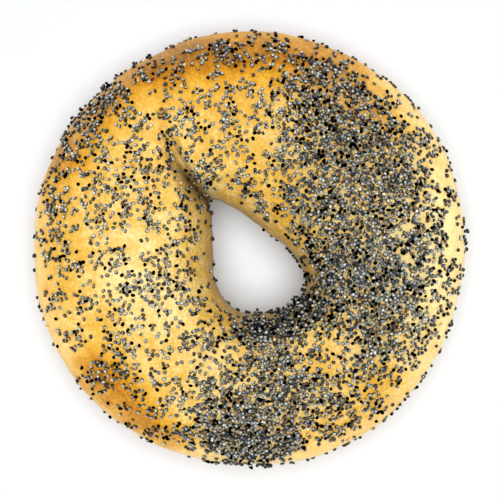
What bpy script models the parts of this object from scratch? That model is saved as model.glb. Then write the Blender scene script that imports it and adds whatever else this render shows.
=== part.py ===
"""A hand-rolled bagel: one baked ring of bread with a teardrop hole, a seam and a flat underside.

Metres, +Z up. The origin is on the resting plane, under the middle of the ring's box. The ring is
lofted: each slice joins the hole's edge to the outer edge, and its outline is a superellipse whose
ridge leans a little towards the hole, cut off flat at the resting plane.
"""

import math

import bmesh
import bpy
import numpy as np

# Overall form. The outer radii are about the origin and the hole's are about the hole's centre.
HOLE_CENTRE = (0.0002, -0.0037)
OUTER_EDGE = {
    0: 0.0536, 30: 0.0543, 60: 0.0537, 90: 0.0541, 120: 0.0538, 150: 0.0542,
    180: 0.0537, 210: 0.0545, 240: 0.0541, 270: 0.0540, 300: 0.0545, 330: 0.0537,
}
HOLE_EDGE = {
    0: 0.0115, 25: 0.0093, 50: 0.0083, 75: 0.0091, 95: 0.0114, 112: 0.0154, 123: 0.0188, 132: 0.0148,
    150: 0.0113, 180: 0.0094, 215: 0.0102, 250: 0.0120, 285: 0.0126, 315: 0.0143, 340: 0.0138,
}
RIDGE_HEIGHT = {0: 0.0352, 60: 0.0348, 105: 0.0354, 145: 0.0356, 200: 0.0360, 270: 0.0346, 315: 0.0343}

# The slice: the height of its widest line as a share of the ridge's, how far below that line the
# rounded underside would reach if it weren't cut off, its superellipse power, and the ridge's shift.
GIRTH_SHARE = 0.44
UNDERSIDE_DROP = 0.0185
FULLNESS = 2.15
RIDGE_LEAN = 0.06

# The seam, where the rope's two ends were pressed together: a valley that runs out from the hole's tip.
SEAM_ANGLE = 124.5
SEAM_DEPTH = 0.0075
SEAM_HALF_WIDTH = 0.0021
SEAM_REACH = 0.56

SLICES = 100
SLICE_POINTS = 28

CRUST_COLOUR = (0.80, 0.50, 0.17)
CRUST_ROUGHNESS = 0.55


def closed_curve(stations, degrees):
    """Values at the given angles of a smooth closed curve through {degrees: value} stations."""
    knots = np.array(sorted(stations), float)
    values = np.array([stations[k] for k in sorted(stations)])
    knots = np.concatenate([knots[-2:] - 360, knots, knots[:3] + 360])
    values = np.concatenate([values[-2:], values, values[:3]])
    slopes = np.zeros_like(values)
    slopes[1:-1] = (values[2:] - values[:-2]) / (knots[2:] - knots[:-2])
    angle = np.mod(degrees, 360)
    i = np.clip(np.searchsorted(knots, angle, side="right") - 1, 1, len(knots) - 3)
    span = knots[i + 1] - knots[i]
    t = (angle - knots[i]) / span
    start = (1 + 2 * t) * (1 - t) ** 2 * values[i] + t * (1 - t) ** 2 * span * slopes[i]
    end = t * t * (3 - 2 * t) * values[i + 1] + t * t * (t - 1) * span * slopes[i + 1]
    return start + end


def signed_power(value, power):
    return np.sign(value) * np.abs(value) ** power


def slice_outline():
    """Across (-1 at the hole, +1 outside) and height (+ above the girth, - below) round one slice."""
    turn = np.linspace(0, 2 * math.pi, SLICE_POINTS, endpoint=False)
    return signed_power(np.cos(turn), 2 / FULLNESS), signed_power(np.sin(turn), 2 / FULLNESS)


def slice_angles():
    """The slices' angles in degrees, closer together near the seam."""
    even = np.linspace(0, 360, SLICES, endpoint=False)
    return even - 12 * np.sin(np.radians(even - SEAM_ANGLE))


def seam_drop(degrees, share, radius):
    """How far the seam lowers the top at an angle, a share of the way out and a radius from the hole."""
    sideways = radius * np.sin(np.radians(degrees - SEAM_ANGLE))
    facing = np.cos(np.radians(degrees - SEAM_ANGLE)) > 0
    fade = np.clip(1 - share / SEAM_REACH, 0, 1) ** 0.8
    return facing * SEAM_DEPTH * fade * np.exp(-((sideways / SEAM_HALF_WIDTH) ** 2))


def ring_points():
    """The ring's points as an array of slices by points by xyz, with its box centred on the origin."""
    degrees = slice_angles()[:, None]
    across, height = slice_outline()
    ray = np.dstack([np.cos(np.radians(degrees)), np.sin(np.radians(degrees))])
    inner = np.array(HOLE_CENTRE) + ray * closed_curve(HOLE_EDGE, degrees)[:, :, None]
    outer = ray * closed_curve(OUTER_EDGE, degrees)[:, :, None]
    share = (1 + across) / 2 - RIDGE_LEAN * (1 - across**2)
    plan = inner + (outer - inner) * share[None, :, None]
    ridge = closed_curve(RIDGE_HEIGHT, degrees)
    girth = GIRTH_SHARE * ridge
    z = girth + np.where(height >= 0, (ridge - girth) * height, UNDERSIDE_DROP * height)
    radius = np.linalg.norm(plan - np.array(HOLE_CENTRE), axis=2)
    z = z - seam_drop(degrees, share, radius) * np.clip(height, 0, 1)
    points = np.dstack([plan, np.maximum(z, 0)])
    low, high = points.min(axis=(0, 1)), points.max(axis=(0, 1))
    points[:, :, :2] -= (low[:2] + high[:2]) / 2
    return points


def ring_mesh(name):
    """The closed mesh of quads through the ring's points."""
    points = ring_points()
    bm = bmesh.new()
    rows = [[bm.verts.new(p) for p in row] for row in points]
    for i, row in enumerate(rows):
        following = rows[(i + 1) % len(rows)]
        for j in range(len(row)):
            k = (j + 1) % len(row)
            bm.faces.new((row[j], following[j], following[k], row[k]))
    bmesh.ops.triangulate(bm, faces=bm.faces[:])
    bmesh.ops.recalc_face_normals(bm, faces=bm.faces[:])
    mesh = bpy.data.meshes.new(name)
    bm.to_mesh(mesh)
    bm.free()
    return mesh


def crust_material():
    material = bpy.data.materials.new("bread_crust")
    material.use_nodes = True
    shader = material.node_tree.nodes["Principled BSDF"]
    shader.inputs["Base Color"].default_value = (*CRUST_COLOUR, 1)
    shader.inputs["Roughness"].default_value = CRUST_ROUGHNESS
    shader.inputs["Metallic"].default_value = 0
    return material


def clear_scene():
    for thing in list(bpy.data.objects):
        bpy.data.objects.remove(thing, do_unlink=True)


def build():
    clear_scene()
    mesh = ring_mesh("bread_ring")
    mesh.materials.append(crust_material())
    mesh.shade_smooth()
    mesh.set_sharp_from_angle(angle=math.radians(40))
    ring = bpy.data.objects.new("bread_ring", mesh)
    bpy.context.scene.collection.objects.link(ring)


build()
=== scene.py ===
"""A poppy-seed bagel on a white table: the baked ring of bread, its seeds, and the studio round them.

Metres, +Z up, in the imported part's own frame. The ring follows the part's driving dimensions and adds
the skin's real relief; the seeds are then dropped on that skin one by one, and pile up where many fell.
"""

from __future__ import annotations

import logging
import math
from dataclasses import dataclass, field
from enum import Enum

import bmesh
import bpy
import numpy as np
from mathutils.bvhtree import BVHTree
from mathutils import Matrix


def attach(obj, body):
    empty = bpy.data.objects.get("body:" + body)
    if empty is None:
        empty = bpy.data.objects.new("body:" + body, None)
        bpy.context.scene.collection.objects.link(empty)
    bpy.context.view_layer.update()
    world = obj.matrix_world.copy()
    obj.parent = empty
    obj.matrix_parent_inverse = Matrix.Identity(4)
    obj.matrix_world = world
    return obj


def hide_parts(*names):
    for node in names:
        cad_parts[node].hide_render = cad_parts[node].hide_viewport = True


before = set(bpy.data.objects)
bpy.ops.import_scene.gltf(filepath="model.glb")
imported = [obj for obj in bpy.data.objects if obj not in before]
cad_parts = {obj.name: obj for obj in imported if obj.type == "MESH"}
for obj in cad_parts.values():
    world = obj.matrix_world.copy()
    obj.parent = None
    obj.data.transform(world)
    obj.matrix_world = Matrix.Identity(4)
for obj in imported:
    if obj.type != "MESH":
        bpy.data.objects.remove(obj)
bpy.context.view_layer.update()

LOG = logging.getLogger("bagel")
MM = 0.001
BAKE_MAP = "OFBake"
# Large odd numbers that scramble a lattice corner's place into a value that looks random.
SCRAMBLE_PLACE = (374761393, 668265263, 2147483647)
SCRAMBLE_SEED = 974634777
SCRAMBLE_BITS = 1274126177
# One layer of noise: how strong it is, the size of its features in millimetres, and its seed.
Layer = tuple[float, float, int]


# ---------------------------------------------------------------------------------------- helpers


def linear(hex_colour: str) -> tuple[float, float, float, float]:
    """Turn an sRGB hex colour into linear light.

    Args:
        hex_colour: Six hex digits, with or without a leading #.

    Returns:
        Linear red, green and blue, and an alpha of 1.
    """
    digits = hex_colour.lstrip("#")
    channels = [int(digits[i : i + 2], 16) / 255 for i in (0, 2, 4)]
    red, green, blue = (c / 12.92 if c <= 0.04045 else ((c + 0.055) / 1.055) ** 2.4 for c in channels)
    return red, green, blue, 1.0


def add_node(
    tree: bpy.types.NodeTree, kind: str, settings: dict | None = None, links: dict | None = None
) -> bpy.types.Node:
    """Add a shader node with its settings and its incoming links.

    Args:
        tree: The material's node tree.
        kind: The node's type, such as ShaderNodeMath.
        settings: Attribute names, or socket names or indices, to their values. The key "stops" holds a
            ramp's positions and hex colours.
        links: Socket names or indices to the output sockets that feed them.

    Returns:
        The new node.
    """
    node = tree.nodes.new(kind)
    for key, value in (settings or {}).items():
        if key == "stops":
            elements = node.color_ramp.elements
            for _ in range(len(value) - len(elements)):
                elements.new(0.5)
            for element, (position, colour) in zip(elements, value, strict=True):
                element.position, element.color = position, linear(colour)
        elif isinstance(key, str) and hasattr(node, key):
            setattr(node, key, value)
        else:
            node.inputs[key].default_value = value
    for key, source in (links or {}).items():
        tree.links.new(source, node.inputs[key])
    return node


def new_material(name: str) -> tuple[bpy.types.Material, bpy.types.Node, bpy.types.NodeSocket]:
    """Start a material.

    Args:
        name: What it is made of and how its surface was made.

    Returns:
        The material, its shader, and the object's own positions, in metres.
    """
    material = bpy.data.materials.new(name)
    material.use_nodes = True
    spot = add_node(material.node_tree, "ShaderNodeTexCoord").outputs["Object"]
    return material, material.node_tree.nodes["Principled BSDF"], spot


def closed_curve(stations: dict[int, float], degrees: np.ndarray) -> np.ndarray:
    """Read a smooth closed curve through a few stations.

    Args:
        stations: Angle in degrees to value.
        degrees: Angles to read the curve at.

    Returns:
        The curve's values at those angles.
    """
    knots = np.array(sorted(stations), float)
    values = np.array([stations[k] for k in sorted(stations)])
    knots = np.concatenate([knots[-2:] - 360, knots, knots[:3] + 360])
    values = np.concatenate([values[-2:], values, values[:3]])
    slopes = np.zeros_like(values)
    slopes[1:-1] = (values[2:] - values[:-2]) / (knots[2:] - knots[:-2])
    angle = np.mod(degrees, 360)
    i = np.clip(np.searchsorted(knots, angle, side="right") - 1, 1, len(knots) - 3)
    span = knots[i + 1] - knots[i]
    t = (angle - knots[i]) / span
    start = (1 + 2 * t) * (1 - t) ** 2 * values[i] + t * (1 - t) ** 2 * span * slopes[i]
    end = t * t * (3 - 2 * t) * values[i + 1] + t * t * (t - 1) * span * slopes[i + 1]
    return start + end


def signed_power(value: np.ndarray, power: float) -> np.ndarray:
    """Raise to a power and keep the sign."""
    return np.sign(value) * np.abs(value) ** power


def smoothstep(low: float, high: float, value: np.ndarray) -> np.ndarray:
    """Rise smoothly from 0 at low to 1 at high."""
    t = np.clip((value - low) / (high - low), 0, 1)
    return t * t * (3 - 2 * t)


def lattice_noise(points: np.ndarray, cell: float, seed: int) -> np.ndarray:
    """Smooth noise whose values are fixed by hashing a cubic lattice.

    Args:
        points: Positions, the last axis being xyz.
        cell: The lattice's spacing, in the same unit.
        seed: Which noise.

    Returns:
        One value from -1 to 1 for each point.
    """
    positive = 1000.0
    scaled = points / cell + positive
    base = np.floor(scaled).astype(np.int64)
    t = scaled - base
    t = t * t * t * (t * (t * 6 - 15) + 10)
    total = np.zeros(points.shape[:-1])
    for corner in range(8):
        step = np.array([corner & 1, corner >> 1 & 1, corner >> 2 & 1])
        at = base + step
        mixed = at @ np.array(SCRAMBLE_PLACE) + seed * SCRAMBLE_SEED
        mixed = (mixed ^ (mixed >> 13)) * SCRAMBLE_BITS
        mixed = (mixed ^ (mixed >> 16)) & 0xFFFFFF
        weight = np.prod(np.where(step == 1, t, 1 - t), axis=-1)
        total += weight * (mixed / 0x7FFFFF - 1)
    return total


def layered_noise(points: np.ndarray, layers: tuple[Layer, ...]) -> np.ndarray:
    """Add up several layers of noise at each point."""
    return sum(strength * lattice_noise(points, size * MM, seed) for strength, size, seed in layers)


def new_mesh(name: str, points: np.ndarray, faces: np.ndarray, uvs: np.ndarray) -> bpy.types.Mesh:
    """Make a smooth mesh from arrays.

    Args:
        name: The mesh's name.
        points: Vertex positions, N by 3.
        faces: Vertex indices, M by 3 or 4.
        uvs: One texture position for each corner of each face, M by 3 or 4 by 2.

    Returns:
        The mesh, with its texture map.
    """
    mesh = bpy.data.meshes.new(name)
    mesh.from_pydata(points.tolist(), [], faces.tolist())
    layer = mesh.uv_layers.new(name=BAKE_MAP)
    layer.data.foreach_set("uv", uvs.astype(np.float32).ravel())
    mesh.shade_smooth()
    mesh.update()
    return mesh


def add_attribute(mesh: bpy.types.Mesh, name: str, values: np.ndarray) -> None:
    """Store one number for each vertex."""
    attribute = mesh.attributes.new(name, "FLOAT", "POINT")
    attribute.data.foreach_set("value", values.astype(np.float32).ravel())


def place(name: str, mesh: bpy.types.Mesh) -> bpy.types.Object:
    """Put a mesh in the scene.

    Args:
        name: The object's name.
        mesh: Its mesh.

    Returns:
        The object, at the origin.
    """
    thing = bpy.data.objects.new(name, mesh)
    bpy.context.scene.collection.objects.link(thing)
    return thing


@dataclass(frozen=True)
class Patch:
    """A soft-edged oval on the ring, seen from above, in millimetres."""

    x: float
    y: float
    along: float
    across: float
    turn: float
    amount: float

    def weight(self, points: np.ndarray) -> np.ndarray:
        """Fade from the amount at the middle to nothing outside.

        Args:
            points: Positions in metres, the last axis starting with x and y.

        Returns:
            The patch's strength at each point.
        """
        dx, dy = points[..., 0] / MM - self.x, points[..., 1] / MM - self.y
        cos, sin = math.cos(math.radians(self.turn)), math.sin(math.radians(self.turn))
        forward, side = (dx * cos + dy * sin) / self.along, (dy * cos - dx * sin) / self.across
        return self.amount * np.exp(-(forward**2 + side**2))


@dataclass(frozen=True)
class Sprinkling:
    """Where the sprinkling hand passed. The patches' amounts are shares of the skin covered."""

    thin: float = 0.20
    fullest: float = 0.96
    clumps: tuple[Layer, ...] = ((1.5, 4.5, 41), (1.5, 2.0, 42))
    caught_on_walls: float = 0.11
    lowest_seed_mm: float = 1.5
    lowest_crowd_mm: float = 9.0
    patches: tuple[Patch, ...] = (
        Patch(30, 4, 30, 14, 90, 0.62),
        Patch(38, -5, 12, 7, 90, 0.30),
        Patch(30, -12, 9, 9, 0, 0.55),
        Patch(23, 29, 13, 9, -35, 0.54),
        Patch(23, 40, 6, 4, -20, 0.40),
        Patch(15, 38, 9, 8, 0, 0.35),
        Patch(14, 18, 12, 9, 90, 0.32),
        Patch(27, 19, 6, 7, 0, 0.38),
        Patch(7, 24, 5, 5, 0, 0.22),
        Patch(17, 12, 5, 5, 0, 0.40),
        Patch(25, -6, 6, 5, 0, 0.60),
        Patch(13, -14, 5, 5, 0, 0.95),
        Patch(6, -22, 5, 4, 0, 0.45),
        Patch(18, -8, 6, 8, 0, 0.30),
        Patch(3, -19, 6, 4, 0, 0.85),
        Patch(1, -44, 9, 13, 0, 0.80),
        Patch(0, -52, 7, 4, 0, 0.70),
        Patch(-6, -45, 4, 5, 0, 0.60),
        Patch(6, -48, 4, 4, 0, 0.40),
        Patch(8, -28, 7, 8, 0, 0.40),
        Patch(-8, -26, 7, 7, 0, 0.35),
        Patch(-11, -40, 8, 9, 0, 0.25),
        Patch(12, -38, 8, 8, 0, 0.45),
        Patch(30, -24, 6, 5, 0, 0.50),
        Patch(22, -33, 9, 6, 20, 0.12),
        Patch(-40, -18, 9, 9, 0, -0.10),
        Patch(-41, 31, 6, 8, -35, 0.50),
        Patch(-34, 39, 7, 4, 45, 0.54),
        Patch(-25, 48, 5, 3, 20, 0.45),
        Patch(-12, 14, 5, 2.5, 122, 0.70),
        Patch(-47, 14, 10, 4, 80, 0.25),
        Patch(-10, 34, 6, 6, 0, 0.14),
        Patch(-4, 48, 8, 5, 0, 0.20),
        Patch(-28, -6, 7, 6, 0, 0.16),
        Patch(55, 2, 8, 3, 90, 0.35),
        Patch(45, -25, 7, 5, 60, -0.20),
    )
    # The walls of the hole that hardly any seed reached.
    sheltered: tuple[Patch, ...] = (
        Patch(-4, 10, 9, 3, -28, 0.90),
        Patch(6, 4, 9, 3, -45, 0.80),
        Patch(-9, 1, 12, 4, 90, 0.75),
    )

    def cover(self, points: np.ndarray) -> np.ndarray:
        """Work out the share of the skin that seeds cover, seen from above.

        Args:
            points: Positions on the skin.

        Returns:
            A share from 0 to 1 for each point.
        """
        bare = np.full(points.shape[:-1], 1 - self.thin)
        for patch in self.patches:
            bare = bare * (1 - patch.weight(points))
        return 1 - bare

    def wanted(self, middle: np.ndarray, normal: np.ndarray) -> np.ndarray:
        """Work out how many seeds each unit of skin gets.

        Args:
            middle: Positions on the skin.
            normal: The skin's normals there.

        Returns:
            A relative number for each position.
        """
        cover = np.clip(self.cover(middle), 0, self.fullest)
        facing_up = normal[:, 2]
        # Seeds fall from above: the steep sides catch fewer, and the skin below the girth hardly any.
        rim = smoothstep(36 * MM, 44 * MM, np.linalg.norm(middle[:, :2], axis=1))
        on_top = smoothstep(0.18 + 0.17 * rim, 0.80 + 0.16 * rim, facing_up)
        on_walls = smoothstep(-0.75, 0.0, facing_up)
        caught = self.caught_on_walls * on_walls + (1 - self.caught_on_walls) * on_top
        clear = smoothstep(self.lowest_seed_mm * MM, self.lowest_crowd_mm * MM, middle[:, 2])
        reached = 1 - np.clip(sum(patch.weight(middle) for patch in self.sheltered), 0, 1)
        reached = np.where(facing_up < 0.75, reached, 1)
        # Thin stretches lie in clumps, and full ones are even.
        clumped = np.exp(layered_noise(middle, self.clumps) * (1 - 0.7 * cover))
        return -np.log(1 - cover) * caught * clear * reached * clumped


# --------------------------------------------------------------------------------------- finishes


@dataclass(frozen=True)
class BakedCrust:
    """The crust of a boiled and baked bagel.

    The dough is boiled before it is baked, which sets a thin starch skin: the eye sees a satin, slightly
    waxy surface, cream where the oven barely reached it and amber to brown where it did. Its colours also
    hold painted light and shade: on the rims, between the dense seeds, in the seam and down the walls of
    the hole.
    """

    stops: tuple[tuple[float, str], ...] = (
        (0.00, "#ffecae"),
        (0.22, "#f0d388"),
        (0.42, "#e0b24e"),
        (0.60, "#d79d26"),
        (0.80, "#bf7d10"),
        (1.00, "#80500f"),
    )
    pale_and_lit_side: str = "#ffdf98"
    # The dusty colour serves both crumbled seed and painted shade.
    dusty: str = "#c6ae7a"
    crease_shade_colour: str = "#4c3216"
    burnt: str = "#7a4a14"
    paleness: float = 0.48
    roughness: float = 0.52
    uneven_gloss: float = 0.12
    ior: float = 1.45
    specular: float = 0.2
    mottle_mm: float = 4.5
    mottle: float = 0.22
    fleck_mm: float = 0.8
    fleck: float = 0.26
    pinhole_spacing_mm: float = 3.0
    pinhole_width_mm: float = 0.32
    pinhole_burn: float = 0.7
    grain_mm: float = 0.40
    grain_depth_mm: float = 0.18
    bubble_depth_mm: float = 0.5
    relief: float = 0.7

    def material(self) -> bpy.types.Material:
        """Build the crust's shader from the vertex browning and fine noise.

        Returns:
            The material.
        """
        material, shader, spot = new_material("boiled_and_baked_crust")
        tree = material.node_tree
        browning, pallor, dust, crease = (
            add_node(tree, "ShaderNodeAttribute", {"attribute_name": name}).outputs["Fac"]
            for name in ("browning", "pallor", "dust", "crease")
        )
        # The starch skin browns unevenly: 4.5 mm blotches, and 0.8 mm flecks over its small bubbles.
        blotches = add_node(
            tree, "ShaderNodeTexNoise",
            {"Scale": 1 / (self.mottle_mm * MM), "Detail": 4.0, "Roughness": 0.6}, {"Vector": spot},
        )
        flecks = add_node(
            tree, "ShaderNodeTexNoise",
            {"Scale": 1 / (self.fleck_mm * MM), "Detail": 2.0}, {"Vector": spot},
        )
        uneven = []
        for noise, strength in ((blotches, self.mottle), (flecks, self.fleck)):
            settings = {"operation": "MULTIPLY_ADD", 1: 2 * strength, 2: -strength}
            uneven.append(add_node(tree, "ShaderNodeMath", settings, {0: noise.outputs["Fac"]}))
        unevenness = add_node(
            tree, "ShaderNodeMath", {"operation": "ADD"}, {0: uneven[0].outputs[0], 1: uneven[1].outputs[0]}
        )
        browned_and_painted_light = add_node(
            tree, "ShaderNodeMath",
            {"operation": "ADD", "use_clamp": True}, {0: browning, 1: unevenness.outputs[0]},
        )
        ramp = add_node(tree, "ShaderNodeValToRGB", {"stops": self.stops}, {"Fac": browned_and_painted_light.outputs[0]})
        paled = add_node(tree, "ShaderNodeMath", {"operation": "MULTIPLY", 1: self.paleness}, {0: pallor})
        # Gas that broke through the skin left pinholes about 0.3 mm wide, browner than the rest.
        pinholes = add_node(
            tree, "ShaderNodeTexVoronoi",
            {"Scale": 1 / (self.pinhole_spacing_mm * MM)}, {"Vector": spot},
        )
        pinhole_reach = self.pinhole_width_mm / self.pinhole_spacing_mm / 2
        scorched = add_node(
            tree,
            "ShaderNodeMapRange",
            {
                "interpolation_type": "SMOOTHSTEP",
                "From Min": pinhole_reach * 1.5,
                "From Max": pinhole_reach * 0.4,
                "To Max": self.pinhole_burn,
            },
            {"Value": pinholes.outputs["Distance"]},
        )
        colour = ramp.outputs["Color"]
        for tint, amount in (
            # The steep outer side is painted paler: partly a band that the oven browned less, partly
            # painted light that brightens the steep rim.
            (self.pale_and_lit_side, paled.outputs[0]),
            # Under the seed drifts the skin is dulled by crumbled seed and darkened by painted shade
            # between the seeds; down the walls of the hole it is painted shade.
            (self.dusty, dust),
            # Painted shade: the seam's crease is painted dark brown, where shade falls deep in the fold.
            (self.crease_shade_colour, crease),
            (self.burnt, scorched.outputs["Result"]),
        ):
            settings = {"data_type": "RGBA", 7: linear(tint)}
            colour = add_node(tree, "ShaderNodeMix", settings, {0: amount, 6: colour}).outputs[2]
        tree.links.new(colour, shader.inputs["Base Color"])
        # The skin is waxier where it set smooth than over its small bubbles.
        gloss = add_node(
            tree,
            "ShaderNodeMath",
            {"operation": "MULTIPLY_ADD", 1: 2 * self.uneven_gloss, 2: self.roughness - self.uneven_gloss},
            {0: flecks.outputs["Fac"]},
        )
        tree.links.new(gloss.outputs[0], shader.inputs["Roughness"])
        shader.inputs["IOR"].default_value = self.ior
        shader.inputs["Specular IOR Level"].default_value = self.specular
        # The skin's own grain, drawn 0.4 mm wide so that it shows; the real one is nearer 0.1 mm.
        grain = add_node(
            tree, "ShaderNodeTexNoise", {"Scale": 1 / (self.grain_mm * MM), "Detail": 3.0}, {"Vector": spot}
        )
        skin = add_node(
            tree,
            "ShaderNodeBump",
            {"Strength": self.relief, "Distance": self.grain_depth_mm * MM},
            {"Height": grain.outputs["Fac"]},
        )
        bubbles = add_node(
            tree,
            "ShaderNodeBump",
            {"Strength": self.relief, "Distance": self.bubble_depth_mm * MM},
            {"Height": flecks.outputs["Fac"], "Normal": skin.outputs["Normal"]},
        )
        tree.links.new(bubbles.outputs["Normal"], shader.inputs["Normal"])
        return material


@dataclass(frozen=True)
class SeedCoat:
    """The hard, netted coat of a ripe poppy seed.

    The eye sees a dark slate grain with a painted highlight on its crown and painted shade on its flanks,
    and a small soft highlight.
    """

    name: str
    shaded_flank: str
    lit_crown_dark: str
    lit_crown_light: str
    specular: float
    roughness: float = 0.42
    ior: float = 1.5
    net_mm: float = 0.2
    net_depth_mm: float = 0.03

    def material(self) -> bpy.types.Material:
        """Build the seed coat's shader from the seed's tone, the painted highlight on its crown and its
        net.

        Returns:
            The material.
        """
        material, shader, spot = new_material(f"poppy_seed_coat_{self.name}")
        tree = material.node_tree
        tone, crown = (
            add_node(tree, "ShaderNodeAttribute", {"attribute_name": name}).outputs["Fac"]
            for name in ("tone", "crown")
        )
        crown_highlight = add_node(
            tree, "ShaderNodeMix",
            {"data_type": "RGBA", 6: linear(self.lit_crown_dark), 7: linear(self.lit_crown_light)}, {0: tone},
        )
        # The painted highlight on the crown is broken up in places.
        highlight_breakup = add_node(
            tree, "ShaderNodeTexNoise",
            {"Scale": 1 / (2 * self.net_mm * MM), "Detail": 1.0}, {"Vector": spot},
        )
        kept = add_node(
            tree,
            "ShaderNodeMapRange",
            {"From Min": 0.30, "From Max": 0.55, "To Min": 0.35, "To Max": 1.0},
            {"Value": highlight_breakup.outputs["Fac"]},
        )
        shown = add_node(
            tree, "ShaderNodeMath", {"operation": "MULTIPLY"}, {0: crown, 1: kept.outputs["Result"]}
        )
        coat = add_node(
            tree, "ShaderNodeMix",
            {"data_type": "RGBA", 6: linear(self.shaded_flank)}, {0: shown.outputs[0], 7: crown_highlight.outputs[2]},
        )
        tree.links.new(coat.outputs[2], shader.inputs["Base Color"])
        shader.inputs["Roughness"].default_value = self.roughness
        shader.inputs["IOR"].default_value = self.ior
        shader.inputs["Specular IOR Level"].default_value = self.specular
        # The coat is a net of ridges 0.1 mm apart, drawn 0.2 mm apart so that it shows.
        net = add_node(
            tree, "ShaderNodeTexVoronoi",
            {"feature": "DISTANCE_TO_EDGE", "Scale": 1 / (self.net_mm * MM)}, {"Vector": spot},
        )
        bump = add_node(
            tree,
            "ShaderNodeBump",
            {"Strength": 0.5, "Distance": self.net_depth_mm * MM, "invert": True},
            {"Height": net.outputs["Distance"]},
        )
        tree.links.new(bump.outputs["Normal"], shader.inputs["Normal"])
        return material


@dataclass(frozen=True)
class MattePaper:
    """White card, rolled and uncoated: a pale sheet with no shine and a faint felt-like grain."""

    light: str = "#d9dce1"
    dark: str = "#d5d8dd"
    roughness: float = 0.9
    grain_mm: float = 1.5

    def material(self) -> bpy.types.Material:
        """Build the card's shader.

        Returns:
            The material.
        """
        material, shader, spot = new_material("uncoated_white_card")
        tree = material.node_tree
        grain = add_node(tree, "ShaderNodeTexNoise", {"Scale": 1 / (self.grain_mm * MM)}, {"Vector": spot})
        tint = add_node(
            tree, "ShaderNodeMix",
            {"data_type": "RGBA", 6: linear(self.light), 7: linear(self.dark)}, {0: grain.outputs["Fac"]},
        )
        tree.links.new(tint.outputs[2], shader.inputs["Base Color"])
        shader.inputs["Roughness"].default_value = self.roughness
        return material


# ----------------------------------------------------------------------------------- bread and seeds


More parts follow.
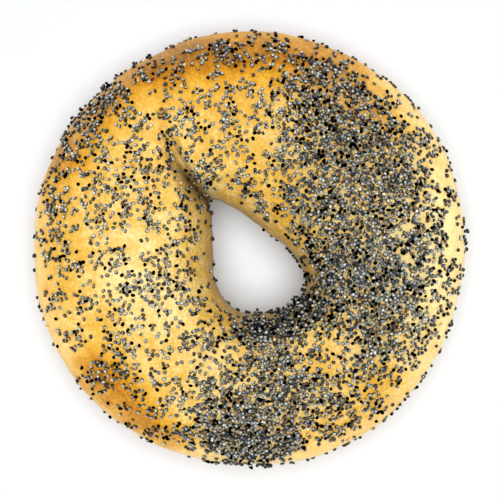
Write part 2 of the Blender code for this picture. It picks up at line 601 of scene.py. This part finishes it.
@dataclass
class BreadRing:
    """The baked ring, lofted slice by slice, with its seam, lumps and blisters."""

    sprinkling: Sprinkling
    hole_centre: tuple[float, float] = (0.0006, -0.0037)
    outer_edge: dict[int, float] = field(
        default_factory=lambda: {
            0: 0.0536, 30: 0.0543, 60: 0.0537, 90: 0.0541, 120: 0.0538, 150: 0.0542,
            180: 0.0537, 210: 0.0545, 240: 0.0541, 270: 0.0540, 300: 0.0545, 330: 0.0537,
        }
    )
    hole_edge: dict[int, float] = field(
        default_factory=lambda: {
            0: 0.0115, 25: 0.0093, 50: 0.0083, 75: 0.0091, 95: 0.0114, 112: 0.0154, 123: 0.0188,
            132: 0.0148, 150: 0.0113, 180: 0.0096, 215: 0.0104, 250: 0.0121, 285: 0.0128, 315: 0.0148,
            340: 0.0144,
        }
    )
    ridge_height: dict[int, float] = field(
        default_factory=lambda: {
            0: 0.0352, 60: 0.0348, 105: 0.0354, 145: 0.0356, 200: 0.0360, 270: 0.0346, 315: 0.0343,
        }
    )
    girth_share: float = 0.44
    underside_drop: float = 0.0185
    fullness: float = 2.15
    ridge_lean: float = 0.06
    # The seam's valley is steep on its near side, to the right of the crease, and slopes on its far side.
    seam_angle: float = 124.5
    seam_depth: float = 0.0115
    seam_near_side: float = 0.0010
    seam_far_side: float = 0.0034
    seam_reach: float = 0.56
    seam_bow: float = 0.0009
    bow_start: float = 18 * MM
    bow_length: float = 20 * MM
    lip_height: float = 0.0011
    lip_width: float = 0.0017
    crease_near_side: float = 0.9 * MM
    crease_far_side: float = 2.2 * MM
    slices: int = 496
    slice_points: int = 200
    # Strengths in millimetres.
    lumps: tuple[Layer, ...] = ((0.32, 13, 1), (0.12, 5.5, 2))
    puckers: tuple[Layer, ...] = ((0.06, 2.2, 3), (0.04, 1.3, 4))
    folds: tuple[Layer, ...] = ((0.10, 6, 5),)
    # Dents are negative and swellings positive: amounts in millimetres.
    swellings: tuple[Patch, ...] = (
        Patch(4.0, -25.8, 8.0, 1.8, 4, -0.9),
        Patch(3.0, -22.6, 7.0, 1.6, 4, 0.35),
        Patch(-33.0, -33.0, 16.0, 9.0, -45, -0.5),
        Patch(24.0, 26.0, 14.0, 10.0, 120, 0.4),
        Patch(-26.0, -4.0, 16.0, 9.0, 90, 0.15),
        Patch(-2.0, 33.0, 10.0, 7.0, 20, -0.4),
    )
    # How brown each region is above or below the plain crust. Part of it is painted light: the top rim is
    # painted darker and the right rim paler, standing in for light from the lower right, and the bread
    # between the dense seeds at the upper right is painted darker as shade.
    browned_and_painted_light: tuple[Patch, ...] = (
        Patch(-37, -32, 8, 6, -48, 0.42),
        Patch(-26, -42, 10, 6, -38, 0.44),
        Patch(-31, -32, 8, 5, -48, 0.08),
        Patch(-17, -47, 7, 4, -20, 0.18),
        Patch(-48, 0, 26, 6, 90, 0.12),
        Patch(-45, 23, 10, 6, 60, 0.46),
        Patch(-36, 37, 9, 6, 45, 0.50),
        Patch(-20, 45, 10, 6, 25, 0.40),
        Patch(-2, 48, 20, 8, 0, 0.46),
        Patch(18, 44, 10, 7, -25, 0.34),
        Patch(29, 34, 9, 8, -45, 0.29),
        Patch(-26, -8, 17, 12, 90, -0.13),
        Patch(-14, -36, 9, 9, 0, -0.10),
        Patch(0, 21, 9, 6, -50, 0.05),
        Patch(9, 11, 8, 5, -45, 0.08),
        Patch(40, -4, 28, 10, 90, -0.20),
        Patch(51, -1, 28, 8, 90, -0.21),
        Patch(3, -50, 22, 5, 0, -0.12),
        Patch(17, -50, 9, 5, 15, 0.08),
        Patch(31, -36, 9, 6, 35, 0.18),
    )
    plain_browning: float = 0.38
    toasting: float = 0.56
    uneven_browning: tuple[Layer, ...] = ((0.07, 9, 21), (0.06, 3.5, 22))
    uneven_toasting: tuple[Layer, ...] = ((0.10, 6, 23), (0.08, 2, 24))
    blisters: int = 600

    def _slice_degrees(self) -> np.ndarray:
        """Angles of the slices, closer together near the seam."""
        even = np.linspace(0, 360, self.slices, endpoint=False)
        return even - 12 * np.sin(np.radians(even - self.seam_angle))

    def _across_seam(self, sideways: np.ndarray, radius: np.ndarray) -> np.ndarray:
        """Measure from the crease itself, which bows to the left of its straight line."""
        along = np.clip((radius - self.bow_start) / self.bow_length, 0, 1)
        return sideways + self.seam_bow * np.sin(np.pi * along)

    def _seam(self, degrees: np.ndarray, share: np.ndarray, radius: np.ndarray) -> np.ndarray:
        """Work out the seam's valley and the rounded lip beside it.

        Args:
            degrees: Angle about the hole's centre.
            share: Share of the way from the hole to the outer edge.
            radius: Distance from the hole's centre.

        Returns:
            How far the top is lowered.
        """
        turned = np.radians(degrees - self.seam_angle)
        sideways = self._across_seam(-radius * np.sin(turned), radius)
        facing = np.cos(turned) > 0
        fade = np.clip(1 - share / self.seam_reach, 0, 1) ** 0.8
        # The far side steepens as the valley runs out.
        far_side = self.seam_far_side * (1 - 0.35 * smoothstep(16 * MM, 25 * MM, radius))
        width = np.where(sideways > 0, self.seam_near_side, far_side)
        valley = self.seam_depth * fade * np.exp(-(np.abs(sideways / width) ** 1.25))
        from_lip = (sideways - 2.4 * self.seam_near_side) / self.lip_width
        lip = self.lip_height * fade**0.5 * np.exp(-(from_lip**2))
        return facing * (valley - lip)

    def _plain_form(self) -> tuple[np.ndarray, np.ndarray]:
        """Loft the ring before its skin's relief.

        Returns:
            Points as slices by points by xyz, and each point's height on its slice from -1 to 1.
        """
        degrees = self._slice_degrees()[:, None]
        turn = np.linspace(0, 2 * math.pi, self.slice_points, endpoint=False)
        across = signed_power(np.cos(turn), 2 / self.fullness)
        height = signed_power(np.sin(turn), 2 / self.fullness)
        centre = np.array(self.hole_centre)
        ray = np.dstack([np.cos(np.radians(degrees)), np.sin(np.radians(degrees))])
        inner = centre + ray * closed_curve(self.hole_edge, degrees)[:, :, None]
        outer = ray * closed_curve(self.outer_edge, degrees)[:, :, None]
        share = (1 + across) / 2 - self.ridge_lean * (1 - across**2)
        plan = inner + (outer - inner) * share[None, :, None]
        ridge = closed_curve(self.ridge_height, degrees)
        girth = self.girth_share * ridge
        z = girth + np.where(height >= 0, (ridge - girth) * height, self.underside_drop * height)
        radius = np.linalg.norm(plan - centre, axis=2)
        z = z - self._seam(degrees, share, radius) * np.clip(height, 0, 1)
        points = np.dstack([plan, np.maximum(z, 0)])
        low, high = points.min(axis=(0, 1)), points.max(axis=(0, 1))
        points[:, :, :2] -= (low[:2] + high[:2]) / 2
        return points, np.broadcast_to(height, points.shape[:2])

    @staticmethod
    def _normals(points: np.ndarray) -> np.ndarray:
        """Outward normals of a grid of points that closes both ways.

        Args:
            points: Slices by points by xyz.

        Returns:
            Unit normals of the same shape.
        """
        along = np.roll(points, -1, axis=0) - np.roll(points, 1, axis=0)
        around = np.roll(points, -1, axis=1) - np.roll(points, 1, axis=1)
        normal = np.cross(along, around)
        return normal / np.maximum(np.linalg.norm(normal, axis=2, keepdims=True), 1e-12)

    def _relief(self, points: np.ndarray, height: np.ndarray) -> np.ndarray:
        """Work out the skin's relief: lumps from the dough, puckers, and blisters from boiling.

        Args:
            points: The plain form.
            height: Each point's height on its slice, from -1 to 1.

        Returns:
            How far each point moves out along its normal, in metres.
        """
        rng = np.random.default_rng(11)
        lumps = layered_noise(points, self.lumps)
        puckers = layered_noise(points, self.puckers)
        top = smoothstep(-0.2, 0.5, height)
        raised = sum(patch.weight(points) for patch in self.swellings) * top
        # The dough's skin stretched into fine folds along its steep sides as it rose.
        flat_radius = np.linalg.norm(points[..., :2], axis=-1, keepdims=True)
        folded = np.concatenate([points[..., :2] / flat_radius * 40 * MM, points[..., 2:] * 5], axis=-1)
        side = smoothstep(0.62, 0.25, height) * smoothstep(-0.9, -0.6, height)
        folds = layered_noise(folded, self.folds) * side
        from_hole = np.linalg.norm(points[..., :2] - self.hole_centre, axis=-1)
        inner = smoothstep(24 * MM, 15 * MM, from_hole)
        # The bread lies a little inside its nominal form on top, which leaves room for the seeds.
        sunk = 0.25 * inner + 0.45 * smoothstep(0.3, 0.8, height)
        relief = ((lumps * (1 - 0.6 * inner) + puckers + raised + folds) - sunk) * MM
        flat = points.reshape(-1, 3)
        upper = np.flatnonzero(height.ravel() > -0.3)
        blistered = np.zeros(len(flat))
        for centre in flat[rng.choice(upper, self.blisters)]:
            reach = rng.uniform(0.8, 1.9) * MM
            rise = rng.uniform(0.05, 0.15) * MM
            near = np.flatnonzero(np.abs(flat - centre).max(axis=1) < 2 * reach)
            distance = np.linalg.norm(flat[near] - centre, axis=1) / reach
            blistered[near] += rise * np.exp(-(distance**2) * 1.5)
        return relief + blistered.reshape(height.shape)

    def _browning_and_painted_light(self, points: np.ndarray, height: np.ndarray) -> np.ndarray:
        """Work out how brown each point is: the oven's browning, with painted light and shade on the rims
        and between the dense seeds.

        Args:
            points: The skin's points.
            height: Each point's height on its slice, from -1 to 1.

        Returns:
            0 for pale dough to 1 for dark brown.
        """
        brown = self.plain_browning + sum(patch.weight(points) for patch in self.browned_and_painted_light)
        brown = brown + layered_noise(points, self.uneven_browning)
        # The flat underside toasts against the board, more at its middle than at its edge.
        toasted = self.toasting + layered_noise(points, self.uneven_toasting)
        resting = smoothstep(1.2 * MM, 0.0, points[..., 2]) * smoothstep(-0.80, -0.93, height)
        return np.clip(brown * (1 - resting) + toasted * resting, 0, 1)

    def _dust_and_painted_shade(self, points: np.ndarray, height: np.ndarray) -> np.ndarray:
        """Work out how dull and dark each point is painted: crumbled seed and painted shade under the seed
        drifts, and painted shade down the walls of the hole.

        Args:
            points: The skin's points.
            height: Each point's height on its slice, from -1 to 1.

        Returns:
            0 for clean skin to 1 for dull and shaded.
        """
        cover = self.sprinkling.cover(points)
        # Under the seed drifts: crumbled seed, and painted shade between the seeds.
        drift = 0.58 * smoothstep(0.28, 0.92, cover) * smoothstep(-0.2, 0.3, height)
        from_hole = np.linalg.norm(points[..., :2] - self.hole_centre, axis=-1)
        # Painted shade down the walls of the hole.
        painted_wall_shade = 0.65 * smoothstep(0.45, 0.0, height) * smoothstep(24 * MM, 17 * MM, from_hole)
        return 1 - (1 - drift) * (1 - painted_wall_shade)

    @staticmethod
    def _pallor_and_painted_light(points: np.ndarray, height: np.ndarray, browning: np.ndarray) -> np.ndarray:
        """Work out how pale the steep outer side is painted: partly browned less by the oven, partly
        painted light that brightens the steep rim.

        Args:
            points: The skin's points.
            height: Each point's height on its slice, from -1 to 1.
            browning: How brown each point is.

        Returns:
            0 for skin as brown as its browning says to 1 for the palest side.
        """
        outer = smoothstep(30 * MM, 40 * MM, np.linalg.norm(points[..., :2], axis=-1))
        side = smoothstep(0.78, 0.36, height) * smoothstep(-0.95, -0.6, height)
        return side * outer * (1 - 0.8 * smoothstep(0.45, 0.68, browning))

    def _folded_in(self, points: np.ndarray) -> tuple[np.ndarray, np.ndarray]:
        """Work out the painted shade in the seam's crease and the painted highlight along its lip.

        Args:
            points: The skin's points.

        Returns:
            How deep in the crease each point is, from 0 to 1, and how far up the lip.
        """
        away = points[..., :2] - self.hole_centre
        angle = math.radians(self.seam_angle)
        forward = away @ np.array([math.cos(angle), math.sin(angle)])
        straight = away @ np.array([math.sin(angle), -math.cos(angle)])
        sideways = self._across_seam(straight, forward)
        reach = smoothstep(38 * MM, 24 * MM, forward) * (forward > 0)
        width = np.where(sideways > 0, self.crease_near_side, self.crease_far_side)
        crease = np.exp(-(np.abs(sideways / width) ** 1.5)) * reach
        # Painted highlight: the lip's crest is painted paler for a millimetre either way.
        from_crest = (sideways - 2.0 * MM) / (1.0 * MM)
        return crease, np.exp(-(from_crest**2)) * reach

    def build(self, finish: BakedCrust) -> bpy.types.Object:
        """Build and dress the ring.

        Args:
            finish: The crust's finish.

        Returns:
            The ring's object.
        """
        plain, height = self._plain_form()
        points = plain + self._normals(plain) * self._relief(plain, height)[:, :, None]
        resting = plain[:, :, 2] < 1e-6
        points[:, :, 2] = np.where(resting, 0.0, np.maximum(points[:, :, 2], 0.0))
        rows, columns = self.slices, self.slice_points
        i, j = np.meshgrid(np.arange(rows), np.arange(columns), indexing="ij")
        following, beside = (i + 1) % rows, (j + 1) % columns
        this, after = i * columns, following * columns
        faces = np.stack([this + j, after + j, after + beside, this + beside], axis=-1).reshape(-1, 4)
        u, v = i / rows, j / columns
        corners = [(u, v), (u + 1 / rows, v), (u + 1 / rows, v + 1 / columns), (u, v + 1 / columns)]
        uvs = np.stack([np.stack(c, axis=-1) for c in corners], axis=2).reshape(-1, 4, 2)
        mesh = new_mesh("crust", points.reshape(-1, 3), faces, uvs)
        crease, lip = self._folded_in(points)
        # Painted highlight: the browning is lowered along the lip's crest.
        browning = self._browning_and_painted_light(points, height) * (1 - 0.55 * lip)
        add_attribute(mesh, "dust", self._dust_and_painted_shade(points, height))
        add_attribute(mesh, "crease", crease)
        add_attribute(mesh, "browning", browning)
        add_attribute(mesh, "pallor", self._pallor_and_painted_light(points, height, browning))
        mesh.materials.append(finish.material())
        ring = place("crust", mesh)
        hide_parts("bread_ring")
        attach(ring, "root")
        return ring


class SeedKind(Enum):
    """The kinds of poppy seed in the mix: share of all seeds, and the coat's colours."""

    # Each kind's flank colour holds painted shade, and its crown colours a painted highlight.
    DUSTY = ("dusty", 0.31, "#15161a", "#a0a6a4", "#e2e6dc", 0.40)
    STEEL = ("steel", 0.24, "#0c0d11", "#6b7273", "#adb3b0", 0.40)
    SLATE = ("slate", 0.17, "#050609", "#2c2f35", "#5a6066", 0.25)
    INK = ("ink", 0.13, "#000000", "#020102", "#070606", 0.0)
    TAWNY = ("tawny", 0.12, "#1d150b", "#8f7b57", "#cdb684", 0.30)
    RUSSET = ("russet", 0.02, "#241305", "#6a4622", "#96703e", 0.40)
    CREAM = ("cream", 0.01, "#b98f52", "#e6cd93", "#f7ebc4", 0.50)

    def __init__(
        self, label: str, share: float, shaded_flank: str, lit_crown_dark: str, lit_crown_light: str, sheen: float
    ) -> None:
        """Keep the kind's name, share and coat.

        Args:
            label: The kind's name.
            share: Its share of all the seeds.
            shaded_flank: The colour of the coat's sides, painted darker as shade.
            lit_crown_dark: The darkest colour of the painted highlight on its crown.
            lit_crown_light: The lightest.
            sheen: The coat's specular level.
        """
        self.label = label
        self.share = share
        self.coat = SeedCoat(label, shaded_flank, lit_crown_dark, lit_crown_light, sheen)


@dataclass
class PoppySeeds:
    """The seeds that stick to the wet skin before it is baked, dropped on and piled one by one."""

    crust: bpy.types.Object
    sprinkling: Sprinkling
    count: int = 7450
    half_length: float = 0.555 * MM
    half_width: float = 0.47 * MM
    half_height: float = 0.40 * MM
    size_spread: float = 0.07
    shapes: int = 12
    spacing: float = 0.89 * MM
    sunk: float = 0.10 * MM
    lowest_seed: float = 2.5 * MM
    lowest_pile: float = 0.3 * MM
    highest_pile: float = 1.7 * MM
    company: float = 0.40
    steepest_company: float = 0.55
    tries_per_seed: int = 5
    tip_on_crust: float = 0.28
    tip_on_pile: float = 0.7

    def build(self) -> list[bpy.types.Object]:
        """Scatter the seeds, then build one piece for each kind.

        Returns:
            The pieces.
        """
        centres, normals, lifts = self._scatter()
        rng = np.random.default_rng(5)
        kinds = list(SeedKind)
        shares = np.array([kind.share for kind in kinds])
        picked = rng.choice(len(kinds), len(centres), p=shares / shares.sum())
        pieces = []
        for number, kind in enumerate(kinds):
            chosen = picked == number
            piece = self._piece(kind, centres[chosen], normals[chosen], lifts[chosen], rng)
            LOG.info("%s: %d seeds, %d faces", piece.name, chosen.sum(), len(piece.data.polygons))
            pieces.append(piece)
        return pieces

    def _scatter(self) -> tuple[np.ndarray, np.ndarray, np.ndarray]:
        """Drop seeds on the crust one by one, and rest each on the crust or on the seeds under it.

        Returns:
            The seeds' centres, the skin's normals under them, and how far each lies above the skin.
        """
        rng = np.random.default_rng(3)
        mesh = self.crust.data
        points = np.empty(len(mesh.vertices) * 3, np.float32)
        mesh.vertices.foreach_get("co", points)
        points = points.reshape(-1, 3).astype(float)
        quads = np.empty(len(mesh.polygons) * 4, np.int32)
        mesh.polygons.foreach_get("vertices", quads)
        quads = quads.reshape(-1, 4)
        skin = BVHTree.FromPolygons(points.tolist(), quads.tolist())
        corners = points[quads]
        cross = np.cross(corners[:, 2] - corners[:, 0], corners[:, 3] - corners[:, 1])
        area = np.linalg.norm(cross, axis=1) / 2
        normal = cross / np.maximum(2 * area[:, None], 1e-18)
        middle = corners.mean(axis=1)
        cover = self.sprinkling.cover(middle)
        weight = self.sprinkling.wanted(middle, normal) * area
        highest = self.lowest_pile + (self.highest_pile - self.lowest_pile) * cover**1.5
        tries = rng.choice(len(area), self.count * self.tries_per_seed, p=weight / weight.sum())
        centres: list[np.ndarray] = []
        normals: list[np.ndarray] = []
        lifts: list[float] = []
        cells: dict[tuple[int, ...], list[int]] = {}
        for face in tries:
            if len(centres) >= self.count:
                break
            if centres and rng.random() < self.company:
                # This one stopped against a seed that was there already.
                other = rng.integers(len(centres))
                if normals[other][2] < self.steepest_company:
                    continue
                sideways = np.cross(normals[other], rng.normal(size=3))
                stride = self.spacing * rng.uniform(1.0, 1.3)
                aim = centres[other] + sideways * stride / np.linalg.norm(sideways)
            else:
                aim = corners[face].T @ rng.dirichlet((1, 1, 1, 1))
            spot, up, nearest, _ = skin.find_nearest(aim)
            up = np.array(up)
            start = np.array(spot) + up * (self.half_height - self.sunk)
            lift = self._lift(start, up, cells, centres, highest[nearest])
            if lift is None or start[2] < self.lowest_seed:
                continue
            settled = start + up * lift
            cells.setdefault(tuple(np.floor(settled / self.spacing).astype(int)), []).append(len(centres))
            centres.append(settled)
            normals.append(up)
            lifts.append(lift)
        return np.array(centres), np.array(normals), np.array(lifts)

    def _lift(
        self,
        start: np.ndarray,
        up: np.ndarray,
        cells: dict[tuple[int, ...], list[int]],
        centres: list[np.ndarray],
        highest: float,
    ) -> float | None:
        """Find how far a seed must rise to lie on the seeds that are already there.

        Args:
            start: Where the seed would lie on bare crust.
            up: The skin's normal there.
            cells: The placed seeds by grid cell.
            centres: The placed seeds' centres.
            highest: The highest that a seed may lie here.

        Returns:
            The rise, or None if the seed rolls off.
        """
        lift = 0.0
        layers = 4
        for _ in range(layers):
            centre = start + up * lift
            column, row, layer = np.floor(centre / self.spacing).astype(int)
            near = [
                number
                for x in (column - 1, column, column + 1)
                for y in (row - 1, row, row + 1)
                for z in (layer - 1, layer, layer + 1)
                for number in cells.get((x, y, z), ())
            ]
            if not near:
                return lift
            offset = centre - np.array([centres[number] for number in near])
            apart = (offset**2).sum(axis=1)
            touching = apart < (self.spacing * 0.97) ** 2
            if not touching.any():
                return lift
            along = offset[touching] @ up
            lift += (np.sqrt(along**2 - apart[touching] + self.spacing**2) - along).max()
            if lift > highest:
                return None
        return None

    def _shape(self, rng: np.random.Generator) -> tuple[np.ndarray, np.ndarray]:
        """Make one kidney-shaped seed.

        Args:
            rng: The source of chance.

        Returns:
            Its vertices about its middle, and its triangles.
        """
        bm = bmesh.new()
        bmesh.ops.create_icosphere(bm, subdivisions=2, radius=1)
        unit = np.array([vertex.co for vertex in bm.verts])
        triangles = np.array([[vertex.index for vertex in face.verts] for face in bm.faces])
        bm.free()
        notch = 1 - 0.32 * np.exp(-((unit[:, 0] / 0.45) ** 2)) * np.clip(unit[:, 1], 0, 1)
        taper = 1 + 0.14 * unit[:, 0] * rng.uniform(-1, 1)
        sizes = np.array([self.half_length, self.half_width, self.half_height]) * rng.uniform(0.88, 1.1, 3)
        shaped = unit * sizes
        shaped[:, 1] *= notch * taper
        shaped[:, 2] *= taper
        return shaped, triangles

    def _piece(
        self,
        kind: SeedKind,
        centres: np.ndarray,
        normals: np.ndarray,
        lifts: np.ndarray,
        rng: np.random.Generator,
    ) -> bpy.types.Object:
        """Build all the seeds of one kind as one piece.

        Args:
            kind: Which kind.
            centres: The seeds' centres.
            normals: The skin's normals under them.
            lifts: How far each lies above the skin.
            rng: The source of chance.

        Returns:
            The piece.
        """
        shapes = [self._shape(rng) for _ in range(self.shapes)]
        points, faces, uvs, tones, lit_crowns = [], [], [], [], []
        columns = math.ceil(math.sqrt(len(centres)))
        used = 0
        for number, (centre, up, lift) in enumerate(zip(centres, normals, lifts, strict=True)):
            shape, triangles = shapes[rng.integers(len(shapes))]
            turn = self._orientation(up, self.tip_on_crust if lift == 0 else self.tip_on_pile, rng)
            placed = (shape * rng.normal(1.0, self.size_spread)) @ turn.T
            points.append(centre + placed)
            faces.append(triangles + used)
            used += len(shape)
            # Painted light: the side of each seed that faces up off the skin, tipped a little at random,
            # gets the painted highlight, dimmed near the notch; the rest keeps the painted shade of the
            # flank.
            outward = placed / np.linalg.norm(placed, axis=1, keepdims=True)
            lit_side = up + rng.normal(0, 0.35, 3)
            crown_highlight = smoothstep(0.30, 0.80, outward @ (lit_side / np.linalg.norm(lit_side)))
            pit = turn @ np.array([0, 0.75, 0.66])
            lit_crowns.append(crown_highlight * (1 - 0.75 * smoothstep(0.75, 0.97, outward @ pit)))
            tones.append(np.full(len(shape), np.clip(rng.normal(0.5, 0.3), 0, 1)))
            uvs.append(self._seed_map(shape, triangles, number % columns, number // columns, columns))
        name = f"poppy_seeds_{kind.label}"
        mesh = new_mesh(name, np.concatenate(points), np.concatenate(faces), np.concatenate(uvs))
        add_attribute(mesh, "tone", np.concatenate(tones))
        add_attribute(mesh, "crown", np.concatenate(lit_crowns))
        mesh.materials.append(kind.coat.material())
        piece = place(name, mesh)
        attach(piece, "root")
        return piece

    @staticmethod
    def _orientation(up: np.ndarray, tip: float, rng: np.random.Generator) -> np.ndarray:
        """Choose how a seed lies: any way round, and tipped by a chance angle.

        Args:
            up: The skin's normal.
            tip: How far it may tip over.
            rng: The source of chance.

        Returns:
            The seed's axes as the columns of a 3 by 3 matrix.
        """
        tipped = up + rng.normal(0, tip, 3)
        z = tipped / np.linalg.norm(tipped)
        x = np.cross(z, rng.normal(0, 1, 3))
        x /= np.linalg.norm(x)
        return np.column_stack([x, np.cross(z, x), z])

    @staticmethod
    def _seed_map(
        shape: np.ndarray, triangles: np.ndarray, column: int, row: int, columns: int
    ) -> np.ndarray:
        """Lay a seed out in its own cell of the texture map, top half beside bottom half.

        Args:
            shape: The seed's vertices.
            triangles: Its triangles.
            column: The cell's column.
            row: The cell's row.
            columns: Cells along each side of the map.

        Returns:
            A texture position for each corner of each triangle.
        """
        unit = shape / np.linalg.norm(shape, axis=1, keepdims=True)
        corners = unit[triangles]
        upper = corners[:, :, 2].mean(axis=1) >= 0
        lift = np.where(upper[:, None], corners[:, :, 2], -corners[:, :, 2])
        reach = np.arccos(np.clip(lift, -1, 1)) / (math.pi / 2) / 1.35
        flat = np.linalg.norm(corners[:, :, :2], axis=2)
        direction = corners[:, :, :2] / np.maximum(flat, 1e-9)[:, :, None]
        local = direction * np.minimum(reach, 0.97)[:, :, None]
        u = 0.25 + 0.25 * local[:, :, 0] * 0.94 + np.where(upper, 0.0, 0.5)[:, None]
        v = 0.5 + 0.5 * local[:, :, 1] * 0.94
        return np.stack([(column + u) / columns, (row + v) / columns], axis=-1)


# ------------------------------------------------------------------------------------------ studio


@dataclass
class Studio:
    """White card under a broad overhead light in a white tent, and a long lens looking straight down."""

    card_size: float = 6.0
    card_gap: float = 0.05 * MM
    sensor_mm: float = 36.0
    lens_mm: float = 144.0
    camera_height: float = 0.516
    aim: tuple[float, float] = (0.000125, -0.0005)
    overhead_strength: float = 3.75
    overhead_spread: float = 44.0
    ceiling_light: float = 0.10
    wall_light: float = 2.4
    wall_foot: float = 0.05
    wall_top: float = 0.45

    def build(self) -> None:
        """Set up the card, the lights, the surroundings and the camera."""
        self._card()
        self._overhead_light()
        self._surroundings()
        self._camera()

    def _card(self) -> None:
        """Lay the white card a hair below the bread, so that the two faces never share a plane."""
        half = self.card_size / 2
        corners = np.array([[-half, -half, 0], [half, -half, 0], [half, half, 0], [-half, half, 0]])
        corners[:, 2] = -self.card_gap
        uvs = np.array([[[0, 0], [1, 0], [1, 1], [0, 1]]], float)
        mesh = new_mesh("white_card", corners, np.array([[0, 1, 2, 3]]), uvs)
        mesh.materials.append(MattePaper().material())
        place("white_card", mesh)

    def _overhead_light(self) -> None:
        """Hang a light straight above that spans a wide cone, and lights the whole card evenly."""
        light = bpy.data.lights.new("overhead_light", "SUN")
        light.angle = math.radians(self.overhead_spread)
        light.energy = self.overhead_strength
        lamp = bpy.data.objects.new("overhead_light", light)
        bpy.context.scene.collection.objects.link(lamp)
        lamp.location = (0, 0, 1)

    def _surroundings(self) -> None:
        """Surround the table with a white tent whose walls glow more than its roof."""
        scene = bpy.context.scene
        world = bpy.data.worlds.new("pale_room")
        scene.world = world
        world.use_nodes = True
        tree = world.node_tree
        direction = add_node(tree, "ShaderNodeTexCoord").outputs["Generated"]
        parts = add_node(tree, "ShaderNodeSeparateXYZ", links={0: direction})
        glow = add_node(
            tree,
            "ShaderNodeMapRange",
            {
                "interpolation_type": "SMOOTHSTEP",
                "From Min": self.wall_foot,
                "From Max": self.wall_top,
                "To Min": self.wall_light,
                "To Max": self.ceiling_light,
            },
            {"Value": parts.outputs["Z"]},
        )
        background = tree.nodes["Background"]
        background.inputs["Color"].default_value = linear("#ffffff")
        tree.links.new(glow.outputs["Result"], background.inputs["Strength"])
        # Colours are shown plainly, with no film curve.
        scene.view_settings.view_transform = "Standard"
        scene.view_settings.look = "None"

    def _camera(self) -> None:
        """Set the camera straight above, with the seam at the upper left."""
        lens = bpy.data.cameras.new("overhead_camera")
        lens.lens = self.lens_mm
        lens.sensor_width = self.sensor_mm
        camera = bpy.data.objects.new("overhead_camera", lens)
        bpy.context.scene.collection.objects.link(camera)
        camera.location = (*self.aim, self.camera_height)
        bpy.context.scene.camera = camera


def main() -> None:
    """Build the bread, its seeds and the studio."""
    logging.basicConfig(level=logging.INFO, format="%(name)s: %(message)s")
    sprinkling = Sprinkling()
    ring = BreadRing(sprinkling).build(BakedCrust())
    LOG.info("%s: %d faces", ring.name, len(ring.data.polygons))
    PoppySeeds(ring, sprinkling).build()
    Studio().build()


if __name__ == "__main__":
    main()
